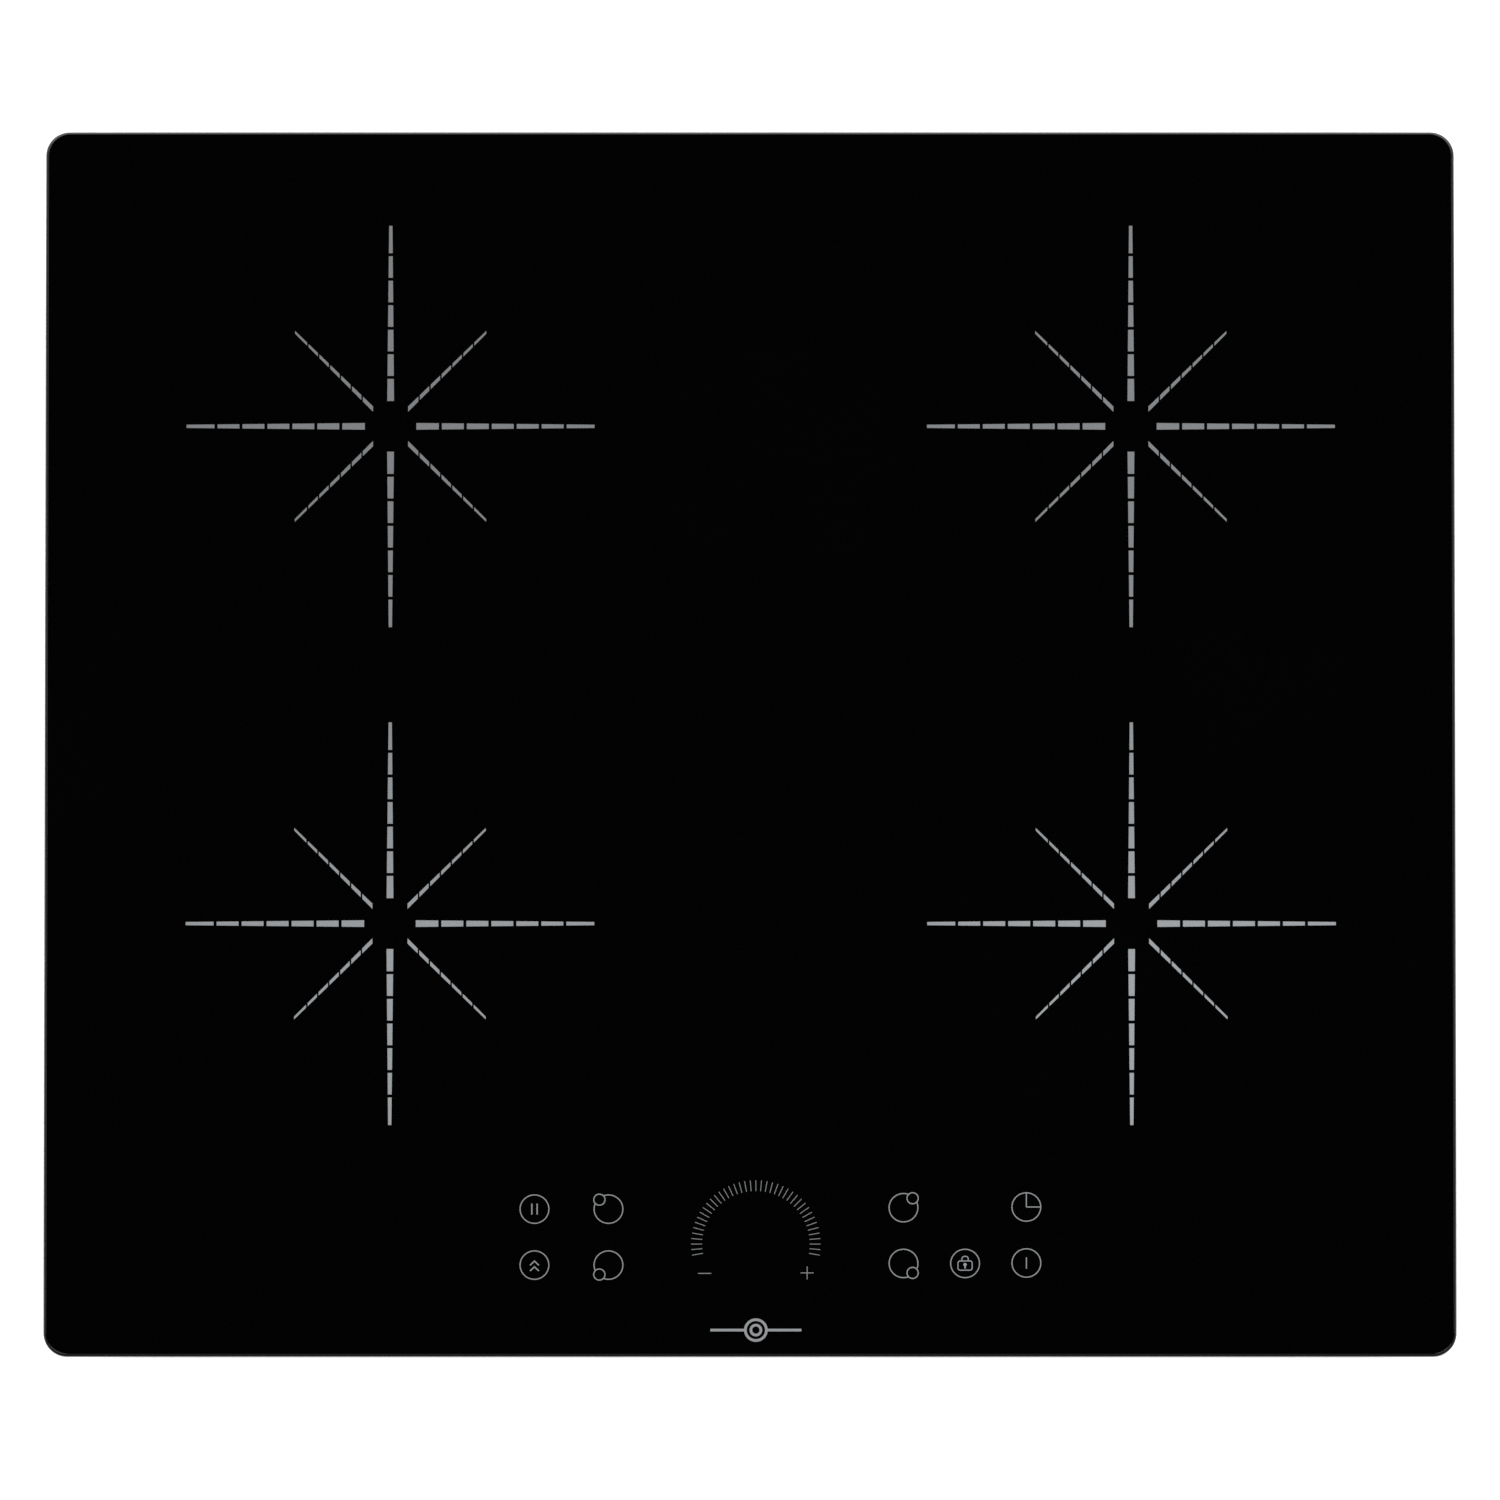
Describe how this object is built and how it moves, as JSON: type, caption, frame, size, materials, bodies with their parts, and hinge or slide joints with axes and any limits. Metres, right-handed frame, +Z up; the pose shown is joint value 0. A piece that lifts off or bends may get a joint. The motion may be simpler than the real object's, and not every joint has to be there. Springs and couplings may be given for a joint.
{
  "type": "induction cooktop",
  "caption": "Built-in induction cooktop: black glass plate with printed star zones and a touch control area, on a vented sheet-metal body with swivel worktop clamps.",
  "frame": {"origin": "centre of the footprint, at the lowest face of the embossed feet", "axes": "+X to the right and +Z up for someone at the controls; +Y towards the rear, -Y is the side with the controls"},
  "size_m": [0.59, 0.52, 0.0601],
  "materials": {
    "black_glass": "gloss",
    "zone_enamel": "satin",
    "control_enamel": "satin",
    "foam_seal": "matte",
    "silicone": "satin",
    "galvanised_steel": "satin",
    "tray_steel": "satin",
    "zinc_screws": "satin",
    "clamp_steel": "satin",
    "white_plastic": "satin",
    "black_plastic": "matte",
    "terminal_ceramic": "satin",
    "black_rubber": "matte",
    "bare_aluminium": "satin",
    "green_laminate": "gloss",
    "filter_laminate": "gloss",
    "part_plastic": "satin",
    "motor_copper": "satin",
    "copper_litz": "satin",
    "ferrite": "matte",
    "mica_sheet": "satin",
    "sensor_ceramic": "satin",
    "spring_steel": "polished",
    "dark_window": "gloss",
    "wire_sheath": "satin"
  },
  "bodies": {
    "cooktop": {"glass_plate": "black_glass", "zone_print": "zone_enamel", "control_print": "control_enamel", "edge_gasket": "foam_seal", "silicone_bond": "silicone", "glass_frame": "galvanised_steel", "bottom_tray": "tray_steel", "body_screws": "zinc_screws", "terminal_box": "white_plastic", "terminal_block": "terminal_ceramic", "cable_clamp": "white_plastic", "cable_bush": "black_rubber", "shield_plate": "bare_aluminium", "springs_rear_left": "spring_steel", "springs_rear_right": "spring_steel", "springs_front_left": "spring_steel", "springs_front_right": "spring_steel", "electronics_carrier": "white_plastic", "power_board_left": "green_laminate", "power_board_right": "green_laminate", "heatsinks": "bare_aluminium", "power_parts": "part_plastic", "filter_board": "filter_laminate", "blower_housing": "black_plastic", "blower_motor": "motor_copper", "control_carrier": "black_plastic", "control_board": "green_laminate", "touch_springs": "spring_steel", "display_module": "dark_window", "wiring_harness": "wire_sheath"},
    "rear_left_coil": {"winding_rear_left": "copper_litz", "former_rear_left": "black_plastic", "ferrites_rear_left": "ferrite", "coil_base_rear_left": "bare_aluminium", "mica_rear_left": "mica_sheet", "sensor_rear_left": "sensor_ceramic"},
    "rear_right_coil": {"winding_rear_right": "copper_litz", "former_rear_right": "black_plastic", "ferrites_rear_right": "ferrite", "coil_base_rear_right": "bare_aluminium", "mica_rear_right": "mica_sheet", "sensor_rear_right": "sensor_ceramic"},
    "front_left_coil": {"winding_front_left": "copper_litz", "former_front_left": "black_plastic", "ferrites_front_left": "ferrite", "coil_base_front_left": "bare_aluminium", "mica_front_left": "mica_sheet", "sensor_front_left": "sensor_ceramic"},
    "front_right_coil": {"winding_front_right": "copper_litz", "former_front_right": "black_plastic", "ferrites_front_right": "ferrite", "coil_base_front_right": "bare_aluminium", "mica_front_right": "mica_sheet", "sensor_front_right": "sensor_ceramic"},
    "front_left_clamp": {"clamp_front_left": "clamp_steel"},
    "front_right_clamp": {"clamp_front_right": "clamp_steel"},
    "rear_left_clamp": {"clamp_rear_left": "clamp_steel"},
    "rear_right_clamp": {"clamp_rear_right": "clamp_steel"},
    "fan_wheel": {"impeller": "black_plastic"},
    "terminal_lid": {"terminal_cover": "white_plastic"}
  },
  "joints": [
    {"name": "rear_left_coil_travel", "type": "slide", "parent": "cooktop", "child": "rear_left_coil", "axis": [0, 0, 1], "range_m": [-0.0025, 0], "stiffness_N_per_m": 4000, "springref_m": 0.0075, "deforming": ["springs_rear_left"]},
    {"name": "rear_right_coil_travel", "type": "slide", "parent": "cooktop", "child": "rear_right_coil", "axis": [0, 0, 1], "range_m": [-0.0025, 0], "stiffness_N_per_m": 4000, "springref_m": 0.0075, "deforming": ["springs_rear_right"]},
    {"name": "front_left_coil_travel", "type": "slide", "parent": "cooktop", "child": "front_left_coil", "axis": [0, 0, 1], "range_m": [-0.0025, 0], "stiffness_N_per_m": 4000, "springref_m": 0.0075, "deforming": ["springs_front_left"]},
    {"name": "front_right_coil_travel", "type": "slide", "parent": "cooktop", "child": "front_right_coil", "axis": [0, 0, 1], "range_m": [-0.0025, 0], "stiffness_N_per_m": 4000, "springref_m": 0.0075, "deforming": ["springs_front_right"]},
    {"name": "front_left_clamp_swing", "type": "hinge", "parent": "cooktop", "child": "front_left_clamp", "pos_m": [-0.264, -0.2, 0.0125], "axis": [0, 0, 1], "range_deg": [0, 90]},
    {"name": "front_right_clamp_swing", "type": "hinge", "parent": "cooktop", "child": "front_right_clamp", "pos_m": [0.264, -0.2, 0.0125], "axis": [0, 0, -1], "range_deg": [0, 90]},
    {"name": "rear_left_clamp_swing", "type": "hinge", "parent": "cooktop", "child": "rear_left_clamp", "pos_m": [-0.264, 0.2, 0.0125], "axis": [0, 0, -1], "range_deg": [0, 90]},
    {"name": "rear_right_clamp_swing", "type": "hinge", "parent": "cooktop", "child": "rear_right_clamp", "pos_m": [0.264, 0.2, 0.0125], "axis": [0, 0, 1], "range_deg": [0, 90]},
    {"name": "fan_spin", "type": "hinge", "parent": "cooktop", "child": "fan_wheel", "pos_m": [0, 0.165, 0.0165], "axis": [0, 0, 1], "continuous": true},
    {"name": "terminal_lid_hinge", "type": "hinge", "parent": "cooktop", "child": "terminal_lid", "pos_m": [0.17, 0.1703, 0.0045], "axis": [-1, 0, 0], "range_deg": [0, 95]}
  ]
}
